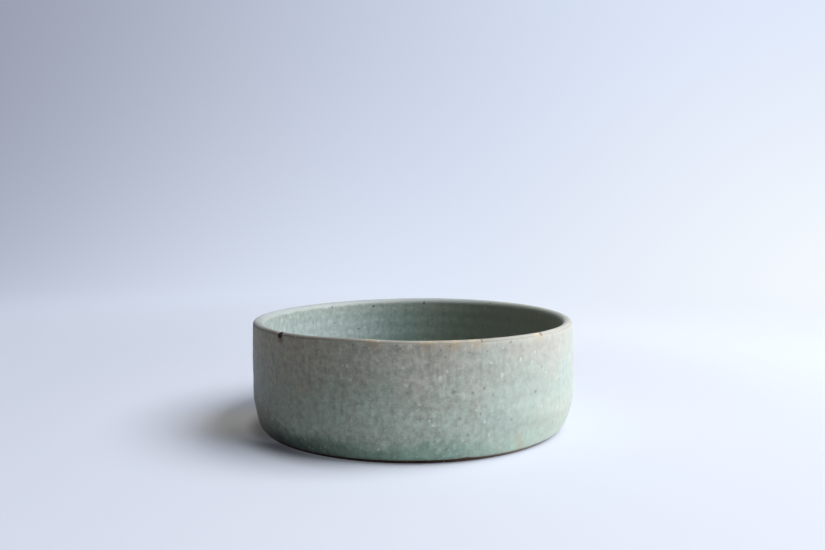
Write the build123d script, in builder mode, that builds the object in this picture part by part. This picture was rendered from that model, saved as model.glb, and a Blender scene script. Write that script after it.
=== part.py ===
"""Ikebana suiban: a low round basin of glazed stoneware, with the needle holder that stands in it.

The basin is a thrown clay body under a coat of celadon glaze that stops short of the foot.
The needle holder (kenzan) is a cast plate set with brass needles, in a rubber ring that
keeps the metal off the glaze. It stands loose on the basin's floor and lifts out.

Millimetres. The origin is the centre of the foot, on the table, and +Z is up.
"""

import os
from math import acos, degrees

from build123d import *

# Basin, finished sizes over the glaze, before the rim is rounded
outer_diameter = 200.0
height = 66.5
wall_thickness = 6.0
wall_flare = 0.5
floor_height = 8.5
rim_outer_round = 1.8
rim_inner_round = 3.8
inner_corner_radius = 20.0

# Foot and the rounded corner above it
foot_inset = 8.0
foot_edge_height = 0.8
corner_height = 24.0
foot_ring_width = 11.0
foot_recess_depth = 2.2
foot_recess_slope = 2.0

# Glaze coat
glaze_thickness = 0.8
glaze_line_height = 1.6

# Needle holder
plate_diameter = 60.0
plate_thickness = 10.0
plate_edge_chamfer = 0.8
needle_diameter = 1.4
needle_sides = 6
needle_height = 14.0
needle_tip_length = 3.5
needle_pitch = 4.2
needle_edge_margin = 4.0
needles_in_first_circle = 6
socket_depth = 5.0

# Rubber ring round the plate
ring_thickness = 2.2
ring_height = 7.0
ring_lip_width = 5.0
ring_lip_thickness = 1.5
ring_edge_chamfer = 0.8

outer_radius = outer_diameter / 2
waist_radius = outer_radius - wall_flare
foot_radius = outer_radius - foot_inset

# The corner is one arc that leaves the foot's edge at a slant and ends upright
corner_run = waist_radius - foot_radius
corner_rise = corner_height - foot_edge_height
corner_radius = (corner_run**2 + corner_rise**2) / (2 * corner_run)
corner_centre = waist_radius - corner_radius

plate_radius = plate_diameter / 2
plate_bottom = floor_height + ring_lip_thickness
plate_top = plate_bottom + plate_thickness
socket_bottom = plate_top - socket_depth
needle_circles = int((plate_radius - needle_edge_margin) // needle_pitch)


def basin_section(skin):
    """Half section of the basin, drawn this deep inside its finished surface."""
    rim_top = height - skin
    floor_top = floor_height - skin
    rim_radius = outer_radius - skin
    bore_radius = outer_radius - wall_thickness + skin
    bore_corner_radius = inner_corner_radius + skin
    recess_radius = foot_radius - foot_ring_width
    corner_turn = degrees(acos((foot_radius - corner_centre) / (corner_radius - skin)))
    with BuildSketch(Plane.XZ, mode=Mode.PRIVATE) as section:
        with BuildLine():
            outer_corner = CenterArc(
                (corner_centre, corner_height),
                corner_radius - skin,
                start_angle=-corner_turn,
                arc_size=corner_turn,
            )
            foot_edge = Line((foot_radius, 0), outer_corner @ 0)
            outer_wall = TangentArc(outer_corner @ 1, (rim_radius, rim_top), tangent=(0, 1))
            bore_corner = CenterArc(
                (bore_radius - bore_corner_radius, floor_top + bore_corner_radius),
                bore_corner_radius,
                start_angle=0,
                arc_size=-90,
            )
            Polyline(outer_wall @ 1, (bore_radius, rim_top), bore_corner @ 0)
            Polyline(
                bore_corner @ 1,
                (0, floor_top),
                (0, foot_recess_depth),
                (recess_radius - foot_recess_slope, foot_recess_depth),
                (recess_radius, 0),
                foot_edge @ 0,
            )
        make_face()
        inner_rim, outer_rim = section.vertices().group_by(Axis.Y)[-1].sort_by(Axis.X)
        fillet(outer_rim, rim_outer_round - skin)
        fillet(inner_rim, rim_inner_round - skin)
    return section


def needle_spots():
    """One group of places for each circle of needles, from the centre out."""
    yield PolarLocations(0, 1)
    for circle in range(1, needle_circles + 1):
        yield PolarLocations(circle * needle_pitch, circle * needles_in_first_circle)


finished_section = basin_section(skin=0)
clay_section = basin_section(skin=glaze_thickness)

# Thrown and trimmed clay body, bare on the foot and the underside
with BuildPart() as stoneware_body:
    revolve(clay_section.sketch, axis=Axis.Z)

# Glaze over the outside, the rim and the inside, ending in a step above the foot
with BuildPart() as glaze_coat:
    with BuildSketch(Plane.XZ):
        add(finished_section.sketch_local)
        add(clay_section.sketch_local, mode=Mode.SUBTRACT)
        Rectangle(
            outer_diameter,
            glaze_line_height,
            align=(Align.MIN, Align.MIN),
            mode=Mode.SUBTRACT,
        )
    revolve(axis=Axis.Z)

# Cast plate with a blind socket for the root of each needle
with BuildPart() as kenzan_plate:
    with BuildSketch(Plane.XY.offset(plate_bottom)):
        Circle(plate_radius)
    extrude(amount=plate_thickness)
    chamfer(kenzan_plate.edges().sort_by(Axis.Z)[-1], plate_edge_chamfer)
    with BuildSketch(Plane.XY.offset(plate_top)):
        for spots in needle_spots():
            with spots:
                RegularPolygon(needle_diameter / 2, needle_sides)
    extrude(amount=-socket_depth, mode=Mode.SUBTRACT)

# One needle: a straight shank that tapers to a point
with BuildPart() as needle:
    shank_length = socket_depth + needle_height - needle_tip_length
    with BuildSketch():
        RegularPolygon(needle_diameter / 2, needle_sides)
    extrude(amount=shank_length)
    shank_end = needle.faces().sort_by(Axis.Z)[-1]
    loft([shank_end, Vertex(0, 0, shank_length + needle_tip_length)], ruled=True)

# The whole set of needles, a separate solid in each socket
with BuildPart(Plane.XY.offset(socket_bottom)) as kenzan_needles:
    for spots in needle_spots():
        with spots:
            add(needle.part, clean=False)

# Rubber ring gripping the plate's side, with a lip that the plate stands on
with BuildPart() as kenzan_rubber_ring:
    with BuildSketch(Plane.XZ) as ring_section:
        with Locations((plate_radius - ring_lip_width, floor_height)):
            Rectangle(
                ring_lip_width + ring_thickness,
                ring_lip_thickness,
                align=(Align.MIN, Align.MIN),
            )
        with Locations((plate_radius, floor_height)):
            Rectangle(ring_thickness, ring_height, align=(Align.MIN, Align.MIN))
        chamfer(ring_section.vertices().group_by(Axis.X)[-1].sort_by(Axis.Y)[-1], ring_edge_chamfer)
    revolve(axis=Axis.Z)

os.makedirs("parts", exist_ok=True)
nodes = {
    "stoneware_body": stoneware_body,
    "glaze_coat": glaze_coat,
    "kenzan_plate": kenzan_plate,
    "kenzan_needles": kenzan_needles,
    "kenzan_rubber_ring": kenzan_rubber_ring,
}
for name, piece in nodes.items():
    piece.part.label = name
    export_step(piece.part, f"parts/{name}.step")
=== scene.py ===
"""Looks of the ikebana suiban: a hand-thrown stoneware basin in celadon glaze, with its needle holder.

Metres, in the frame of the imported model: the foot's centre on the table is the origin and +Z is up.
A bearing is in degrees round the basin, from the front to the right.
"""

import math
import random

import bpy
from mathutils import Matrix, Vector


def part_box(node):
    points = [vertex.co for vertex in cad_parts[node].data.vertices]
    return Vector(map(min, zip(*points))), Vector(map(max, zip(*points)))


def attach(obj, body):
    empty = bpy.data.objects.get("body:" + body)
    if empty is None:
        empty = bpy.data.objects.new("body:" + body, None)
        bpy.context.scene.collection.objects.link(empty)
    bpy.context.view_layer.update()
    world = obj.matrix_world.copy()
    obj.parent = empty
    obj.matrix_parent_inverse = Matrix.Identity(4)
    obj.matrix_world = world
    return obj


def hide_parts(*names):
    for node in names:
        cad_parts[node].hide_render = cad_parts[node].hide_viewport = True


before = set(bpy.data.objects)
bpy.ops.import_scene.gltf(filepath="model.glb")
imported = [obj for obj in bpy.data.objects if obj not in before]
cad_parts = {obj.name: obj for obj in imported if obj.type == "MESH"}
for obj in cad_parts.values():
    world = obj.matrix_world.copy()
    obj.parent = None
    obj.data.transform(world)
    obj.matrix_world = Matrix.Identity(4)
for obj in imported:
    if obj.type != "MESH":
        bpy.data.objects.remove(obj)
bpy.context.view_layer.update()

MM = 0.001
glaze_low, glaze_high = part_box("glaze_coat")
needles_low, needles_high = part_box("kenzan_needles")
plate_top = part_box("kenzan_plate")[1][2]

# Basin, over the glaze
outer_radius = (glaze_high[0] - glaze_low[0]) / 2
rim_height = glaze_high[2]
wall_thickness = 6 * MM
wall_flare = 0.5 * MM
floor_height = 8.5 * MM
rim_outer_round = 1.8 * MM
rim_inner_round = 3.8 * MM
inner_corner = 20 * MM
waist_radius = outer_radius - wall_flare
bore_radius = outer_radius - wall_thickness

# Foot ring with softened edges, and the recess inside it
foot_inset = 8 * MM
foot_radius = outer_radius - foot_inset
foot_edge = 0.8 * MM
foot_bevel_width = 0.5 * MM
foot_bevel_height = 0.4 * MM
foot_ring_width = 11 * MM
recess_depth = 2.2 * MM
recess_slope = 2 * MM
recess_bevel_width = 0.6 * MM
recess_bevel_height = 0.3 * MM
# How far in from its own edge the level part of each starts
foot_level_start = 1 * MM
recess_level_start = 3 * MM

# Round corner that leaves the foot's edge at a slant and ends upright
corner_height = 24 * MM
corner_run = waist_radius - foot_radius
corner_rise = corner_height - foot_edge
corner_radius = (corner_run**2 + corner_rise**2) / (2 * corner_run)
corner_centre = waist_radius - corner_radius
corner_whole_turn = math.asin(corner_rise / corner_radius)
# How far thumb and sponge left it fuller, and the power that keeps this close to the foot
corner_fullness = 0.85 * MM
corner_fullness_power = 4

# Glaze, the share by which its lower edge wanders, and the finger rings that show through it on the floor
glaze_thickness = 0.8 * MM
glaze_line = glaze_low[2]
glaze_line_wander = 0.2
floor_ring_depth = 0.35 * MM
floor_rings = 8

# Steps of a turned mesh, round its axis and along each stretch of its outline
turns = 384
floor_steps = 64
bore_corner_steps = 18
bore_steps = 30
inner_rim_steps = 9
outer_rim_steps = 10
wall_steps = 40
corner_steps = 32
glaze_end_steps = 5
foot_steps = 8
recess_slope_steps = 4
recess_steps = 60

# Lobes of a hand-made wave: the least share of its size that one has, and how fast finer ones get smaller
lobe_least = 0.4
lobe_power = 0.8


def shares(steps):
    """Even shares from 0 to 1."""
    return [step / steps for step in range(steps + 1)]


def arc(centre, radius, start, end, steps):
    """Points along a round stretch of an outline, from one angle to another."""
    sweep = [start + (end - start) * share for share in shares(steps)]
    return [(centre[0] + radius * math.cos(a), centre[1] + radius * math.sin(a)) for a in sweep]


def line(start, end, steps):
    """Points along a straight stretch of an outline."""
    return [tuple(a + (b - a) * share for a, b in zip(start, end)) for share in shares(steps)]


def hand_wave(seed, fewest, most):
    """An uneven wave round the basin, between -1 and 1, made of that range of lobes."""
    chance = random.Random(seed)
    lobes = [(count, chance.uniform(0, 2 * math.pi), chance.uniform(lobe_least, 1) / count**lobe_power)
             for count in range(fewest, most + 1)]
    whole = sum(size for _, _, size in lobes)

    def wave(angle):
        return sum(size * math.sin(count * angle + start) for count, start, size in lobes) / whole

    return wave


def soft_bumps(angle, bumps):
    """Sum of soft bumps round the basin, each with its bearing, its half width in degrees and its size."""
    bearing = math.degrees(angle)
    away = [((bearing - at + 180) % 360 - 180, width, size) for at, width, size in bumps]
    return sum(size * math.exp(-(turn / width) ** 2) for turn, width, size in away)


def basin_line(skin, corner_turn):
    """The basin's outline from the middle of its floor, over the rim and down the corner by that turn."""
    floor_top = floor_height - skin
    bore = bore_radius + skin
    inside = inner_corner + skin
    floor_radius = bore - inside
    quarter = math.pi / 2
    wall_foot = (waist_radius - skin, corner_height)
    wall_head = (outer_radius - skin, rim_height - rim_outer_round)
    points = [(floor_radius * share, floor_top + floor_ring(share)) for share in shares(floor_steps)]
    points += arc((floor_radius, floor_top + inside), inside, -quarter, 0, bore_corner_steps)
    points += line((bore, floor_top + inside), (bore, rim_height - rim_inner_round), bore_steps)
    points += arc((bore_radius + rim_inner_round, rim_height - rim_inner_round),
                  rim_inner_round - skin, math.pi, quarter, inner_rim_steps)
    points += arc((outer_radius - rim_outer_round, rim_height - rim_outer_round),
                  rim_outer_round - skin, quarter, 0, outer_rim_steps)
    points += [(r - wall_flare * share * (1 - share), z)
               for share, (r, z) in zip(shares(wall_steps), line(wall_head, wall_foot, wall_steps))]
    points += [corner_point(skin, corner_turn * share) for share in shares(corner_steps)]
    return [point for point, last in zip(points, [None] + points) if point != last]


def corner_point(skin, turn):
    """A point that deep under the corner's finished surface, at a turn down from the wall."""
    share = min(1, turn / corner_whole_turn)
    swell = corner_fullness * math.sin(math.pi * share**corner_fullness_power)
    reach = corner_radius + swell - skin
    return corner_centre + reach * math.cos(turn), corner_height - reach * math.sin(turn)


def floor_ring(share):
    """How deep the finger rings cut at that share of the floor's radius."""
    return floor_ring_depth * (math.cos(2 * math.pi * floor_rings * share) - 1) / 2


# Where the glaze stops higher or lower: bearing, half width and rise
glaze_rises = [
    (5, 30, 1.2 * MM), (18, 2.6, 0.9 * MM), (60, 27, -1.1 * MM), (40, 6, 0.2 * MM),
    (-62, 5, 0.4 * MM), (118, 7, 0.6 * MM), (-150, 6, 0.5 * MM),
]

# How far throwing and trimming by hand leave the true turned form
lean_depth = 0.45 * MM
belly_depth = 0.30 * MM
belly_twist = 2.2
finger_ring_depth = 0.05 * MM
finger_ring_pitch = 8.5 * MM
rim_dip = 0.12 * MM
# Slow swings of the rim up and down: how many round the basin, bearing of a crest, and size
rim_swings = [(1, 95, 0.35 * MM), (2, -20, 0.40 * MM), (3, 45, 0.17 * MM)]
# Where the rim stands higher, and where its lip is pulled in: bearing, half width and size
rim_lifts = [(-20, 15, 0.7 * MM)]
lip_pulls = [(80, 38, 1.7 * MM), (-95, 40, 0.8 * MM)]
lip_pull_start = 42 * MM
# How far to the left the foot stands off centre, and up to where that shows
foot_shift = -1.3 * MM
foot_shift_height = 12 * MM
# Powers by which these grow towards the rim or the foot
rim_lift_power = 3
lip_pull_power = 1.5
foot_shift_power = 1.5

lean_wave = hand_wave(3, 2, 5)
belly_wave = hand_wave(8, 3, 9)
rim_wave = hand_wave(21, 4, 15)
edge_wave = hand_wave(34, 3, 46)


def hand_thrown(radius, height, angle):
    """Where a point of the true turned form lies on the uneven thrown one."""
    rise = height / rim_height
    lean = lean_depth * (lean_wave(angle) - 1) * rise
    belly = belly_depth * (belly_wave(angle + belly_twist * rise) - 1) * math.sin(math.pi * min(rise, 1))
    ring = finger_ring_depth * (math.sin(2 * math.pi * height / finger_ring_pitch) - 1)
    pull_share = max(0, height - lip_pull_start) / (rim_height - lip_pull_start)
    pull = soft_bumps(angle, lip_pulls) * pull_share**lip_pull_power
    spread = radius + min(1, radius / foot_radius) * (lean + belly + ring) - pull
    dip = rim_dip * (rim_wave(angle) - 1) + soft_bumps(angle, rim_lifts)
    dip += sum(size * (math.cos(count * (angle - math.radians(at))) - 1) for count, at, size in rim_swings)
    lift = dip * rise**rim_lift_power
    aside = foot_shift * max(0, 1 - height / foot_shift_height) ** foot_shift_power
    return Vector((spread * math.sin(angle) + aside, -spread * math.cos(angle), height + lift))


def lathe(name, outline_at):
    """A closed turned mesh. Its outline at each angle starts and ends on the axis."""
    columns = []
    for step in range(turns):
        angle = 2 * math.pi * step / turns
        columns.append([hand_thrown(r, z, angle) for r, z in outline_at(angle)])
    first, last = columns[0][0], columns[0][-1]
    rows = len(columns[0]) - 2
    points = [first, last] + [point for column in columns for point in column[1:-1]]
    faces = []
    for step in range(turns):
        here = 2 + step * rows
        there = 2 + (step + 1) % turns * rows
        faces.append((0, here, there))
        faces += [(here + row, here + row + 1, there + row + 1, there + row) for row in range(rows - 1)]
        faces.append((1, there + rows - 1, here + rows - 1))
    return new_piece(name, points, faces)


def new_piece(name, points, faces):
    """A smooth-shaded mesh object in the scene."""
    mesh = bpy.data.meshes.new(name)
    mesh.from_pydata(points, [], faces)
    mesh.shade_smooth()
    piece = bpy.data.objects.new(name, mesh)
    bpy.context.collection.objects.link(piece)
    return piece


def glaze_edge(angle):
    """How far the glaze runs down the corner at an angle round the basin, as a turn of the corner."""
    height = glaze_line * (1 + glaze_line_wander * edge_wave(angle)) + soft_bumps(angle, glaze_rises)
    return math.asin((corner_height - height) / corner_radius)


def make_glaze():
    """The glaze: a thin shell that ends in a rounded edge above the foot."""
    half = glaze_thickness / 2

    def outline_at(angle):
        corner_turn = glaze_edge(angle)
        outside = basin_line(0, corner_turn)
        clay_side = basin_line(glaze_thickness, corner_turn)
        edge = []
        for share in shares(glaze_end_steps):
            depth = half * (1 - math.cos(math.pi * share))
            reach = half * math.sin(math.pi * share)
            edge.append(corner_point(depth, corner_turn + reach / corner_radius))
        # The hidden side needs only every fourth point
        return outside[:-1] + edge + clay_side[-3::-4] + clay_side[:1]

    return lathe("glazed_surface", outline_at)


def make_clay():
    """The clay body under the glaze, with its bare turned foot."""
    bare_turn = math.acos((foot_radius - corner_centre) / (corner_radius - glaze_thickness))
    under = basin_line(glaze_thickness, bare_turn)
    recess_edge = foot_radius - foot_ring_width
    foot = [(foot_radius, foot_bevel_height), (foot_radius - foot_bevel_width, 0)]
    foot += line((foot_radius - foot_level_start, 0), (recess_edge + recess_bevel_width, 0), foot_steps)
    foot += line((recess_edge, recess_bevel_height), (recess_edge - recess_slope, recess_depth),
                 recess_slope_steps)
    foot += line((recess_edge - recess_level_start, recess_depth), (0, recess_depth), recess_steps)
    # Under the glaze every third point is enough
    outline = under[:1] + under[1:-1:3] + under[-1:] + foot
    return lathe("stoneware_foot", lambda angle: outline)


# Scattered grains are solid out to this share of their radius, and this share of them is at full strength
grain_core = 0.45
full_grains = 0.8


class Field:
    """A value over a surface, as one output of a node, for writing shader maths as plain sums."""

    def __init__(self, tree, output):
        self.tree = tree
        self.output = output

    def node(self, kind, settings, sockets, output=0):
        """A new node of that kind: its settings first, then values or links for its sockets."""
        made = self.tree.nodes.new(kind)
        for name, value in settings.items():
            setattr(made, name, value)
        for key, value in sockets.items():
            if isinstance(value, Field):
                self.tree.links.new(value.output, made.inputs[key])
            else:
                made.inputs[key].default_value = value
        return Field(self.tree, made.outputs[output])

    def math(self, operation, first, second=0.0):
        return self.node("ShaderNodeMath", {"operation": operation}, {0: first, 1: second})

    def __add__(self, other):
        return self.math("ADD", self, other)

    def __radd__(self, other):
        return self.math("ADD", other, self)

    def __sub__(self, other):
        return self.math("SUBTRACT", self, other)

    def __rsub__(self, other):
        return self.math("SUBTRACT", other, self)

    def __mul__(self, other):
        return self.math("MULTIPLY", self, other)

    def __rmul__(self, other):
        return self.math("MULTIPLY", other, self)

    def larger(self, other):
        return self.math("MAXIMUM", self, other)

    def size(self):
        """This value without its sign."""
        return self.math("ABSOLUTE", self)

    def fade(self, none, full):
        """0 where this value is none, 1 where it is full, and a soft step between."""
        sockets = {"Value": self, "From Min": none, "From Max": full}
        return self.node("ShaderNodeMapRange", {"interpolation_type": "SMOOTHSTEP"}, sockets)

    def tint(self, below, above):
        """One colour where this value is 0 and the other where it is 1."""
        settings = {"data_type": "RGBA", "clamp_factor": True}
        return self.node("ShaderNodeMix", settings, {0: self, 6: below, 7: above}, output=2)

    def scaled(self, amount):
        """A colour or place times that amount."""
        return self.node("ShaderNodeVectorMath", {"operation": "SCALE"}, {0: self, "Scale": amount})

    def moved(self, by):
        """A place moved by a field, for edges that wander."""
        return self.node("ShaderNodeVectorMath", {"operation": "ADD"}, {0: self, 1: by})

    def pointing(self):
        """A direction of length 1."""
        return self.node("ShaderNodeVectorMath", {"operation": "NORMALIZE"}, {0: self})

    def stretched(self, x, y, z):
        return self.node("ShaderNodeVectorMath", {"operation": "MULTIPLY"}, {0: self, 1: (x, y, z)})

    def length(self):
        return self.node("ShaderNodeVectorMath", {"operation": "LENGTH"}, {0: self}, output="Value")

    def distance(self, point):
        sockets = {0: self, 1: point}
        return self.node("ShaderNodeVectorMath", {"operation": "DISTANCE"}, sockets, output="Value")

    def axis(self, name):
        return self.node("ShaderNodeSeparateXYZ", {}, {0: self}, output=name)

    def noise(self, scale, detail=2.0, roughness=0.5):
        sockets = {"Vector": self, "Scale": scale, "Detail": detail, "Roughness": roughness}
        return self.node("ShaderNodeTexNoise", {}, sockets)

    def grains(self, scale, share, size):
        """Scattered round grains: one in a share of the cells, of that radius in cells, with soft edges."""
        near = {"Vector": self, "Scale": scale}
        away = self.node("ShaderNodeTexVoronoi", {}, near, output="Distance")
        chance = self.node("ShaderNodeTexVoronoi", {}, near, output="Color")
        pick = self.node("ShaderNodeSeparateColor", {}, {0: chance}, output=0)
        return away.fade(size, size * grain_core) * pick.fade(1 - share, 1 - share * full_grains)


def paint(red, green, blue):
    """A colour as the eye reads it, 0 to 255, made linear by the sRGB curve for a shader's socket."""
    def linear(value):
        value /= 255
        return value / 12.92 if value < 0.04045 else ((value + 0.055) / 1.055) ** 2.4
    return linear(red), linear(green), linear(blue), 1.0


BLACK = (0.0, 0.0, 0.0, 1.0)


def new_finish(name):
    """A new material, the place on its surface as a field, and its shader."""
    finish = bpy.data.materials.new(name)
    finish.use_nodes = True
    tree = finish.node_tree
    place = Field(tree, tree.nodes.new("ShaderNodeTexCoord").outputs["Object"])
    return finish, place, tree.nodes["Principled BSDF"]


def feed(shader, sockets):
    """Sets or links the shader's sockets by name."""
    for name, value in sockets.items():
        if isinstance(value, Field):
            value.tree.links.new(value.output, shader.inputs[name])
        else:
            shader.inputs[name].default_value = value


def relief(height, depth, strength):
    """A normal from a height field that spans that depth, in metres."""
    sockets = {"Height": height, "Distance": depth, "Strength": strength}
    return height.node("ShaderNodeBump", {}, sockets)


def on_wall(bearing, height):
    """A place on the basin's outer wall, by its bearing and its millimetres above the table."""
    angle = math.radians(bearing)
    return outer_radius * math.sin(angle), -outer_radius * math.cos(angle), height * MM


# Marks that stand out on the basin, each by its bearing, and its height and radius in millimetres.
# Iron spots on the outside, the small soft ones on the lip, and the rust that bled from the largest one
outer_iron = [(-47, 64, 2.6)]
lip_iron = [(21, 65, 1.2), (45, 65, 1.6)]
iron_bleed = [(-46.5, 62, 3.8)]
# Iron spots that show through the glaze inside
inner_iron = [
    (-142, 62, 1.2), (-162, 61, 1.4), (175, 63, 1.3), (144, 64.5, 1.1), (-155, 45, 1), (-143, 50.5, 0.8),
]
# Soft grey smudges of iron, in a row under the lip and on the front of the wall
grey_smudges = [
    (-18, 63, 1.1), (-5, 63.5, 1.1), (2, 62.5, 1.2), (8, 61, 1), (11, 63, 1.1), (31, 63, 1.1), (60, 57, 0.8),
    (-50.5, 56, 1.3),
    (12, 39, 1.6), (22, 40, 1.4), (18, 38, 1.2), (14, 25, 1.2), (21, 27, 1.4), (42, 34, 1.3), (17, 16, 1.5),
]
# Melted white feldspar grains
feldspar_grains = [
    (-36, 57, 1), (-20, 52, 1.5), (-19, 45, 1.3), (-3, 52, 1.4), (-2, 43, 1.4), (2, 33, 1.2), (6, 22, 1.1),
    (8, 46.5, 1.7), (10, 50, 1.3), (24, 53, 1.3), (28, 46, 1.6), (35, 53, 1.3), (22, 22, 1.3), (24, 15, 1.2),
]
# Stretches where the glaze breaks thin and tan over the lip, at any height there, and a place above the foot
thin_lip = [(-48, 0, 4), (-12, 0, 6), (4, 0, 9), (11.5, 0, 9), (19, 0, 7), (44, 0, 6)]
thin_foot = [(35.5, 10, 4), (38, 5, 4.5)]
# How far the mottled glaze pushes the marks' edges about
mark_raggedness = 2.5 * MM

# Glaze outside: along the rim, below it, where it pools above the foot, and low at both ends. The pool is
# painted dark at the left as painted shade and pale at the right as painted light, and so are the low ends
rim_grey = paint(210, 212, 206)
rim_grey_left = paint(213, 212, 203)
sea_green = paint(198, 216, 212)
brown_flush = paint(202, 196, 188)
pool_painted_shade_left = paint(96, 127, 119)
pool_front = paint(148, 188, 178)
pool_painted_light_right = paint(207, 234, 226)
low_left_painted_shade = paint(120, 105, 85)
low_right_painted_light = paint(228, 225, 208)
# Glaze inside: the bore from left to right, painted pale at the left as painted light, darker blue-green in
# the middle and olive past it as painted shade, and warm at the right; its head under the rim; and the well
# below, where pooled glaze is darkened further as painted shade
bore_painted_light_left = paint(184, 198, 197)
bore_middle_painted_shade = paint(146, 164, 161)
bore_olive_painted_shade = paint(143, 151, 140)
bore_right = paint(169, 166, 154)
bore_head = paint(178, 178, 160)
well_pooled_green_and_shade = paint(88, 108, 98)
# Lip: the second dip below it; its crest near and far, where the thin glaze shows darker, with painted shade
# at the near left and the far right, painted light at the near right and a bluish painted reflection on the
# far side; and where it breaks thin, tan, painted paler at the right as painted light
second_dip = paint(232, 236, 228)
near_crest_painted_shade_left = paint(102, 98, 90)
near_crest_front = paint(148, 145, 135)
near_crest_painted_light_right = paint(186, 184, 175)
far_crest_painted_reflection = paint(164, 171, 172)
far_crest_painted_shade_right = paint(161, 165, 155)
thin_tan = paint(188, 166, 136)
thin_tan_painted_light_right = paint(218, 202, 173)
glaze_end_brown = paint(104, 92, 76)
# Specks
grain_white = paint(238, 247, 246)
grain_white_right = paint(228, 238, 236)
speck_grey = paint(90, 98, 94)
rust = paint(132, 88, 64)
veiled_brown = paint(52, 56, 44)
iron_black = paint(10, 8, 7)


def marks(place, spots, core):
    """One mask of a list of spots on the wall, solid out to that share of each radius."""
    mask = 0.0
    for bearing, height, size in spots:
        away = place.distance(on_wall(bearing, height))
        mask = away.fade(size * MM, size * MM * core).larger(mask)
    return mask


class GlazeSurface:
    """Where a point lies on the glaze, and how uneven the glaze is there."""

    def __init__(self, place):
        self.place = place
        self.height = place.axis("Z")
        self.side = place.axis("X")
        self.radius = place.stretched(1, 1, 0).length()
        within_bore = self.radius.fade(bore_radius + 1.2 * MM, bore_radius + 0.4 * MM)
        within_foot = self.radius.fade(foot_radius - 0.5 * MM, foot_radius - 1.5 * MM)
        bore_side = within_bore * self.height.fade(11 * MM, 13 * MM)
        floor_side = within_foot * self.height.fade(7 * MM, 7.6 * MM)
        self.inside = bore_side.larger(floor_side)
        self.outside = 1 - self.inside
        self.patch = place.noise(75, 2, 0.5)
        self.mottle = place.noise(300, 3, 0.62)
        self.streak = place.stretched(1, 1, 0.14).noise(430, 1, 0.5)
        # The same point out on the wall's radius, a little astray, so that marks get ragged edges
        outward = place.stretched(1, 1, 0).pointing().scaled(outer_radius)
        self.wall = outward.moved(place.stretched(0, 0, 1)).moved((self.mottle - 0.5) * mark_raggedness)


def bore_painted_light_and_shade(side):
    """The glaze inside with painted light and shade: pale at the left as painted light, darker blue-green in
    the middle and olive past it as painted shade, and warm at the right.
    """
    bore = side.fade(0, -65 * MM).tint(bore_middle_painted_shade, bore_painted_light_left)
    bore = side.fade(-15 * MM, 30 * MM).tint(bore, bore_olive_painted_shade)
    return side.fade(30 * MM, 75 * MM).tint(bore, bore_right)


def glaze_ground(on):
    """Colour of the melted glaze, with painted light and shade from left to right, and a mask of where it
    pools above the foot.
    """
    height, side, inside, outside = on.height, on.side, on.inside, on.outside
    cloud = on.place.noise(24, 2)
    blush = on.place.noise(120, 1, 0.5)
    tooth = on.place.noise(1300, 2, 0.6)

    drift = height + (cloud - 0.5) * (55 * MM) + (on.patch - 0.5) * (30 * MM) + (on.streak - 0.5) * (10 * MM)
    cool = drift.fade(70 * MM, 22 * MM).larger(inside * 0.9)
    warm = side.fade(-10 * MM, -70 * MM).tint(rim_grey, rim_grey_left)
    colour = cool.tint(warm, sea_green)
    flush = blush.fade(0.45, 0.75) * outside * (0.26 - side.fade(20 * MM, 75 * MM) * 0.16)
    colour = flush.tint(colour, brown_flush)

    # Inside, the bore's painted light and shade from left to right
    colour = inside.tint(colour, bore_painted_light_and_shade(side))
    head = inside * height.fade(50 * MM, 64 * MM)
    colour = (head * 0.3).tint(colour, bore_head)
    # The well: glaze pooled deep green there, darkened further as painted shade
    well = height.fade(46 * MM, 12 * MM) * inside
    colour = (well * 0.85).tint(colour, well_pooled_green_and_shade)

    # Glaze pooled above the foot, painted dark at the left as painted shade and pale at the right as painted
    # light
    pool_painted_shade_to_light = side.fade(-70 * MM, 10 * MM).tint(pool_painted_shade_left, pool_front)
    pool_painted_shade_to_light = side.fade(10 * MM, 60 * MM).tint(pool_painted_shade_to_light, pool_painted_light_right)
    pooled = (height + (on.patch - 0.5) * (14 * MM)).fade(16 * MM, 6 * MM) * outside
    colour = (pooled * 0.85).tint(colour, pool_painted_shade_to_light)
    # Low on the wall, painted darker and browner at the left as painted shade and paler at the right as
    # painted light
    low = height.fade(42 * MM, 17 * MM) * outside
    colour = (low * side.fade(-65 * MM, -90 * MM) * 0.45).tint(colour, low_left_painted_shade)
    colour = (low * side.fade(50 * MM, 85 * MM) * 0.27).tint(colour, low_right_painted_light)

    uneven = (on.mottle - 0.5) * 1.3 + (on.streak - 0.5) * 0.35 + (tooth - 0.5) * 0.4
    calmer_right = 1 - side.fade(0, 75 * MM) * 0.65
    colour = colour.scaled(1 + uneven * calmer_right * (1 - inside * 0.3))
    return colour, pooled


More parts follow.
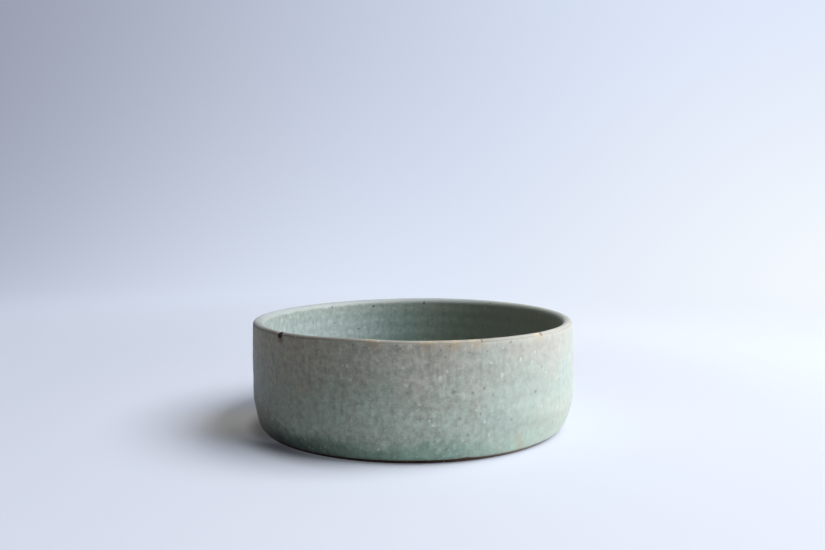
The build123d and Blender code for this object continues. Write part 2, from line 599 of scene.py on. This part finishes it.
def glaze_edges(on, colour):
    """The second dip, the lip's crest with its painted light, shade and reflection, the thin tan places,
    paler at the right as painted light, and the glaze's end, with a mask of the crest.
    """
    height, side = on.height, on.side
    facing = on.place.node("ShaderNodeNewGeometry", {}, {}, output="Normal").axis("Z")

    dip = (height + (on.patch - 0.5) * (4 * MM)).fade(60.5 * MM, 64 * MM) * on.outside
    dip_strength = 0.45 - side.fade(65 * MM, 90 * MM) * 0.35
    colour = (dip * side.fade(10 * MM, 50 * MM) * dip_strength).tint(colour, second_dip)

    crest = facing.fade(0.04, 0.4) * height.fade(62 * MM, 64 * MM)
    # The crest's colour: painted shade at the near left and the far right, painted light at the near right,
    # and a bluish painted reflection on the far side, over the thin glaze's darker tone
    near = side.fade(-75 * MM, 5 * MM).tint(near_crest_painted_shade_left, near_crest_front)
    near = side.fade(35 * MM, 80 * MM).tint(near, near_crest_painted_light_right)
    far = side.fade(20 * MM, 80 * MM).tint(far_crest_painted_reflection, far_crest_painted_shade_right)
    crest_painted_light_and_shade = on.place.axis("Y").fade(-60 * MM, 20 * MM).tint(near, far)
    colour = (crest * (0.65 + on.patch * 0.5)).tint(colour, crest_painted_light_and_shade)

    lip = marks(on.wall.stretched(1, 1, 0), thin_lip, 0.1) * height.fade(59 * MM, 64 * MM)
    above_foot = marks(on.wall, thin_foot, 0.2) * on.outside
    thin = lip.larger(above_foot) * 0.65 * on.mottle.fade(0.28, 0.55)
    # The thin tan places are painted paler at the right as painted light
    colour = thin.tint(colour, side.fade(0, 60 * MM).tint(thin_tan, thin_tan_painted_light_right))
    glaze_end = height.fade(3.2 * MM, 1.7 * MM) * on.outside
    colour = (glaze_end * 0.6).tint(colour, glaze_end_brown)
    return colour, crest


def glaze_specks(on, colour, crest):
    """White grains, pinholes and grey smudges, with masks of the grains and the pinholes."""
    place, height, side = on.place, on.height, on.side
    grains = place.grains(230, 0.24, 0.26).larger(place.grains(430, 0.26, 0.32) * 0.8)
    fewer_right = side.fade(20 * MM, 75 * MM) * on.outside
    grains = grains * (0.65 - on.inside * 0.4 - crest * 0.4 - fewer_right * 0.4)
    flecks = place.grains(120, 0.7, 0.13) * on.outside * (1 - crest)
    feldspar = grains.larger(flecks * 0.85).larger(marks(on.wall, feldspar_grains, 0.45) * on.outside)
    white = side.fade(0, 60 * MM).tint(grain_white, grain_white_right)
    colour = (feldspar * 0.9).tint(colour, white)

    pinholes = place.grains(310, 0.16, 0.24) * (0.25 + height.fade(35 * MM, 60 * MM) * 0.75)
    pinholes = pinholes * (1 - side.fade(20 * MM, 70 * MM) * 0.55)
    smudges = (place.grains(105, 0.9, 0.15) * 0.45).larger(marks(on.wall, grey_smudges, 0.1)) * on.outside
    colour = (pinholes * 0.42).larger(smudges * 0.5).tint(colour, speck_grey)
    return colour, feldspar, pinholes


def glaze_iron(on, colour):
    """Rust, veiled iron spots and the bare black one, with a mask of that one."""
    outer_face = on.radius.fade(outer_radius - 4.4 * MM, outer_radius - 3 * MM)
    bleed = marks(on.wall, iron_bleed, 0.2) * outer_face
    veiled = (marks(on.wall, inner_iron, 0.1) * on.inside).larger(marks(on.wall, lip_iron, 0.1) * outer_face)
    iron = marks(on.wall, outer_iron, 0.6) * outer_face
    colour = (bleed * 0.75).tint(colour, rust)
    colour = (veiled * 0.8).tint(colour, veiled_brown)
    return iron.tint(colour, iron_black), iron


def celadon_finish():
    """Semi-matte celadon: warm grey at the rim, blue-green below, deep where it pools above the foot, with
    painted light and shade from left to right.
    """
    finish, place, shader = new_finish("celadon_glaze")
    on = GlazeSurface(place)
    colour, pooled = glaze_ground(on)
    colour, crest = glaze_edges(on, colour)
    colour, feldspar, pinholes = glaze_specks(on, colour, crest)
    colour, iron = glaze_iron(on, colour)
    bumps = feldspar * 0.2 + on.streak * 0.15 + on.mottle * 0.5 - pinholes * 0.4
    feed(shader, {
        "Base Color": colour,
        "Roughness": (0.46 + on.mottle * 0.16 - pooled * 0.12).larger(iron),
        "Normal": relief(bumps, 0.2 * MM, 0.5),
    })
    return finish


def stoneware_finish():
    """Bare iron-bearing stoneware, toasted red-brown, with painted light that makes it paler to the right,
    and with sandy grog.
    """
    finish, place, shader = new_finish("bare_stoneware")
    dark_clay, toasted_clay, clay_painted_light_right = paint(82, 63, 58), paint(108, 84, 74), paint(196, 170, 160)
    dark_sand, pale_grog = paint(70, 48, 40), paint(186, 156, 126)
    cloud = place.noise(60, 3)
    sand = place.noise(1100, 3, 0.7)
    grog = place.grains(420, 0.3, 0.32)
    colour = cloud.fade(0.3, 0.7).tint(dark_clay, toasted_clay)
    # Paler to the right as painted light
    colour = place.axis("X").fade(10 * MM, 80 * MM).tint(colour, clay_painted_light_right)
    colour = (sand.fade(0.5, 0.8) * 0.5).tint(colour, dark_sand)
    colour = (grog * 0.5).tint(colour, pale_grog)
    feed(shader, {
        "Base Color": colour,
        "Roughness": 0.85,
        "Normal": relief(sand + grog * 0.5, 0.2 * MM, 0.8),
    })
    return finish


# Needles: round wire set in circles, each with a lean and a length of its own
needle_pitch = 4.2 * MM
needles_in_first_circle = 6
needle_radius = 0.65 * MM
needle_sides = 12
needle_lean = 0.15 * MM
needle_shortfall = 0.4 * MM
# Filed point, which bulges a little on its way to a blunt end: shares of its length and of the radius
needle_tip_length = 3.5 * MM
tip_bulge_place = 0.45
tip_bulge_radius = 0.62
tip_end_length = 0.15 * MM
tip_end_radius = 0.12


def needle_spots():
    """Places of the needles: one in the middle, and circles round it."""
    circles = round((needles_high[0] - needle_radius) / needle_pitch)
    spots = [(0.0, 0.0)]
    for circle in range(1, circles + 1):
        count = needles_in_first_circle * circle
        reach = circle * needle_pitch
        turns_round = [2 * math.pi * step / count for step in range(count)]
        spots += [(reach * math.cos(turn), reach * math.sin(turn)) for turn in turns_round]
    return spots


def needle_faces(first, rings):
    """Faces of one needle, whose rings of points start at that number and end in its tip."""
    faces = []
    for ring in range(rings - 1):
        low = first + ring * needle_sides
        high = low + needle_sides
        for side in range(needle_sides):
            after = (side + 1) % needle_sides
            faces.append((low + side, low + after, high + after, high + side))
    last = first + (rings - 1) * needle_sides
    tip = last + needle_sides
    faces += [(last + side, last + (side + 1) % needle_sides, tip) for side in range(needle_sides)]
    faces.append(tuple(first + side for side in reversed(range(needle_sides))))
    return faces


def make_needles():
    """Round drawn needles with filed points, each leaning a hair its own way."""
    chance = random.Random(5)
    root, top = needles_low[2], needles_high[2]
    around = [2 * math.pi * side / needle_sides for side in range(needle_sides)]
    points, faces = [], []
    for x, y in needle_spots():
        lean_x = chance.uniform(-needle_lean, needle_lean)
        lean_y = chance.uniform(-needle_lean, needle_lean)
        tip = top - chance.uniform(0, needle_shortfall)
        levels = [
            (root, needle_radius),
            (tip - needle_tip_length, needle_radius),
            (tip - needle_tip_length * tip_bulge_place, needle_radius * tip_bulge_radius),
            (tip - tip_end_length, needle_radius * tip_end_radius),
        ]
        faces += needle_faces(len(points), len(levels))
        for level, size in levels:
            share = max(0, (level - plate_top) / (top - plate_top))
            points += [(x + lean_x * share + size * math.cos(angle),
                        y + lean_y * share + size * math.sin(angle), level) for angle in around]
        points.append((x + lean_x, y + lean_y, tip))
    return new_piece("brass_needles", points, faces)


def brass_finish():
    """Drawn brass wire, dulled by water, brighter towards the points."""
    finish, place, shader = new_finish("needle_brass")
    wet_brass, bright_brass, tarnish = paint(142, 112, 62), paint(206, 170, 98), paint(112, 92, 58)
    dull = place.noise(900, 3)
    bright = place.axis("Z").fade(plate_top, needles_high[2])
    colour = bright.tint(wet_brass, bright_brass)
    colour = (dull.fade(0.45, 0.75) * 0.5).tint(colour, tarnish)
    feed(shader, {"Base Color": colour, "Metallic": 1.0, "Roughness": 0.28 + dull * 0.3})
    return finish


def lead_finish():
    """Dull cast grey metal with a cloudy oxide bloom."""
    finish, place, shader = new_finish("plate_metal")
    dark_metal, oxide, pit_grey = paint(96, 98, 100), paint(146, 147, 146), paint(70, 72, 74)
    bloom = place.noise(160, 4, 0.6)
    pits = place.noise(1300, 3, 0.6)
    colour = bloom.fade(0.35, 0.7).tint(dark_metal, oxide)
    colour = (pits.fade(0.55, 0.8) * 0.5).tint(colour, pit_grey)
    feed(shader, {
        "Base Color": colour,
        "Metallic": 0.7,
        "Roughness": 0.5 + bloom * 0.25,
        "Normal": relief(pits + bloom, 0.15 * MM, 0.6),
    })
    return finish


def rubber_finish():
    """Matte black rubber with a little dust."""
    finish, place, shader = new_finish("ring_rubber")
    rubber_black, dust_grey = paint(30, 30, 31), paint(64, 63, 61)
    dust = place.noise(500, 4, 0.6)
    feed(shader, {
        "Base Color": dust.fade(0.45, 0.8).tint(rubber_black, dust_grey),
        "Roughness": 0.7 + dust * 0.2,
        "Normal": relief(dust, 0.1 * MM, 0.5),
    })
    return finish


def wear(piece, finish):
    """Gives a piece its one finish."""
    piece.data.materials.clear()
    piece.data.materials.append(finish)


# Sweep of paper: a round floor that curves up into a wall, with the basin well in front of its back
sweep_radius = 2.8
sweep_back = 1.5
sweep_curve = 0.7
sweep_top = 2.4
sweep_hub = 0.1
sweep_turns = 96
sweep_floor_steps = 8
sweep_curve_steps = 16
sweep_wall_steps = 3

# What the paper shows of the light: near and far, at the left and at the right, and outside the view
near_left = paint(145, 151, 172)
near_middle = paint(225, 234, 250)
near_right = paint(250, 254, 255)
far_left = paint(137, 142, 159)
far_right = paint(219, 229, 250)
plain_paper = paint(224, 229, 241)
# The paper round the basin, close and further out, painted lighter at the right as painted light, and the
# neutral grey in the basin's shade
close_paper_left = paint(189, 194, 209)
close_paper_painted_light_right = paint(197, 201, 212)
paper_left = paint(190, 196, 211)
paper_painted_light_right = paint(204, 209, 218)
shade_grey = paint(232, 229, 222)
# The paper as it throws light back at the basin
bounce_left = paint(128, 126, 121)
bounce_right = paint(200, 198, 194)
close_bounce_left = paint(170, 168, 163)
close_bounce_right = paint(206, 204, 200)
# The room beyond the paper, as light and as seen
room_dark = paint(12, 12, 12)
room_pale = paint(222, 229, 243)

# Where the view's wedge starts in front of the basin, and how fast it widens to each side
view_start = 0.52
view_spread = 0.5


def background_seen(place):
    """1 for what the camera sees, straight or mirrored in the object, and 0 for light on the object."""
    rays = {name: place.node("ShaderNodeLightPath", {}, {}, output=name)
            for name in ("Is Camera Ray", "Is Glossy Ray", "Is Transmission Ray")}
    return rays["Is Camera Ray"].larger(rays["Is Glossy Ray"]).larger(rays["Is Transmission Ray"])


def make_sweep():
    """The round sweep of paper, floor and walls in one."""
    flat_radius = sweep_radius - sweep_curve
    outline = line((sweep_hub, 0), (flat_radius, 0), sweep_floor_steps)
    outline += arc((flat_radius, sweep_curve), sweep_curve, -math.pi / 2, 0, sweep_curve_steps)[1:]
    outline += line((sweep_radius, sweep_curve), (sweep_radius, sweep_top), sweep_wall_steps)[1:]
    middle = sweep_back - sweep_radius
    rows = len(outline)
    points, faces = [], []
    for step in range(sweep_turns):
        turn = 2 * math.pi * step / sweep_turns
        points += [(r * math.sin(turn), middle + r * math.cos(turn), z) for r, z in outline]
        here = step * rows
        there = (step + 1) % sweep_turns * rows
        faces += [(here + row, there + row, there + row + 1, here + row + 1) for row in range(rows - 1)]
    faces.append(tuple(step * rows for step in reversed(range(sweep_turns))))
    return new_piece("paper_sweep", points, faces)


def paper_glow(side, ahead, rise):
    """The light's slow fall over the paper, from right to left and into the distance."""
    along = (ahead + rise).fade(0.45, 2.45)
    near = side.fade(-1.3, 0.05).tint(near_left, near_middle)
    near = side.fade(-0.05, 0.9).tint(near, near_right)
    far = side.fade(-1.45, 0.9).tint(far_left, far_right)
    beside = side.size() - (ahead + view_start) * view_spread
    return beside.fade(0.05, 0.5).tint(along.tint(near, far), plain_paper)


def lit_paper(side, away):
    """The paper's colour round the basin, painted lighter towards the right as painted light."""
    across = side.fade(-0.3, 0.1)
    close = across.tint(close_paper_left, close_paper_painted_light_right)
    further = across.tint(paper_left, paper_painted_light_right)
    return away.fade(0.22, 0.45).tint(close, further)


def paper_bounce(side, away):
    """The colour of the light that the paper throws back, none from far off."""
    bounce = side.fade(-0.03, 0.18).tint(bounce_left, bounce_right)
    close = side.fade(-0.10, 0.06).tint(close_bounce_left, close_bounce_right)
    bounce = away.fade(0.17, 0.12).tint(bounce, close)
    return away.fade(2.2, 1.4).tint(BLACK, bounce)


def contact_shade(side, ahead, away):
    """Where the foot's left end keeps light off the paper, below its front and close beside it."""
    front = away.fade(116 * MM, 97 * MM) * side.fade(-15 * MM, -80 * MM) * ahead.fade(-35 * MM, -60 * MM)
    close = away.fade(106 * MM, 95 * MM) * side.fade(-60 * MM, -85 * MM) * ahead.fade(40 * MM, -20 * MM)
    return front.larger(close * 0.75)


def paper_finish():
    """Pale paper: lit round the basin, where it takes the shadow, and glowing evenly further out."""
    finish, place, shader = new_finish("pale_paper")
    side, ahead = place.axis("X"), place.axis("Y")
    away = place.stretched(1, 1, 0).length()
    seen = background_seen(place)
    lit = away.fade(0.85, 0.25)
    under = contact_shade(side, ahead, away)
    # Less shade at the bright right end, and light thrown back into the shade at the left
    bright_side = away.fade(0.20, 0.10) * side.fade(20 * MM, 80 * MM) * 0.3
    shade_side = away.fade(170 * MM, 110 * MM) * side.fade(-30 * MM, -80 * MM)
    thrown_back = shade_side * ahead.fade(-45 * MM, 0) * ahead.fade(100 * MM, 60 * MM) * 0.078
    neutral = shade_side * ahead.fade(-65 * MM, -20 * MM) * ahead.fade(50 * MM, 0)

    glow = (neutral * 0.8).tint(paper_glow(side, ahead, place.axis("Z")), shade_grey)
    own_glow = seen * (1 - lit * (0.82 - bright_side - thrown_back)) * (1 - under * 0.75)
    lit_share = lit * (1 - under * 0.45) * (1 - bright_side * 1.25)
    feed(shader, {
        "Base Color": seen.tint(paper_bounce(side, away), lit_share.tint(BLACK, lit_paper(side, away))),
        "Roughness": 0.9,
        "Specular IOR Level": 0.0,
        "Emission Color": own_glow.tint(BLACK, glow),
        "Emission Strength": 1.0,
    })
    return finish


def make_stage():
    """A sweep of pale paper under and behind the basin."""
    sweep = make_sweep()
    wear(sweep, paper_finish())


# One large soft window at the right, a little in front: its size, power and place as seen from the basin
window_width = 2.0
window_height = 1.8
window_power = 107
window_colour = (0.985, 0.995, 1.0)
window_forward = math.radians(8)
window_rise = math.radians(53)
window_distance = 2.6


def add_window():
    """The window's light."""
    lamp = bpy.data.lights.new("window", "AREA")
    lamp.shape = "RECTANGLE"
    lamp.size = window_width
    lamp.size_y = window_height
    lamp.energy = window_power
    lamp.color = window_colour
    window = bpy.data.objects.new("window", lamp)
    level_distance = window_distance * math.cos(window_rise)
    window.location = (level_distance * math.cos(window_forward),
                       -level_distance * math.sin(window_forward),
                       window_distance * math.sin(window_rise))
    window.rotation_euler = (-window.location).to_track_quat("-Z", "Y").to_euler()
    bpy.context.collection.objects.link(window)


def add_room():
    """A room that is dark as light and pale as seen."""
    room = bpy.data.worlds.new("room")
    room.use_nodes = True
    bpy.context.scene.world = room
    tree = room.node_tree
    background = tree.nodes["Background"]
    seen = background_seen(Field(tree, background.outputs[0]))
    feed(background, {"Color": seen.tint(room_dark, room_pale), "Strength": 1.0})


# The photograph's view: from the front, a little above the rim
camera_place = (-0.0003, -0.5193, 0.1347)
camera_tilt = math.radians(4.775)
lens_length = 36.5
sensor_width = 36


def add_camera():
    """The camera, looking a little down at the basin."""
    lens = bpy.data.cameras.new("camera")
    lens.sensor_width = sensor_width
    lens.lens = lens_length
    camera = bpy.data.objects.new("camera", lens)
    camera.location = camera_place
    camera.rotation_euler = (math.pi / 2 - camera_tilt, 0, 0)
    bpy.context.collection.objects.link(camera)
    bpy.context.scene.camera = camera


glazed_surface = make_glaze()
wear(glazed_surface, celadon_finish())
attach(glazed_surface, "suiban")
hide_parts("glaze_coat")

stoneware_foot = make_clay()
wear(stoneware_foot, stoneware_finish())
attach(stoneware_foot, "suiban")
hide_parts("stoneware_body")

brass_needles = make_needles()
wear(brass_needles, brass_finish())
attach(brass_needles, "kenzan")
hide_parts("kenzan_needles")

wear(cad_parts["kenzan_plate"], lead_finish())
wear(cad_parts["kenzan_rubber_ring"], rubber_finish())

make_stage()
add_window()
add_room()
add_camera()
bpy.context.scene.view_settings.view_transform = "Standard"
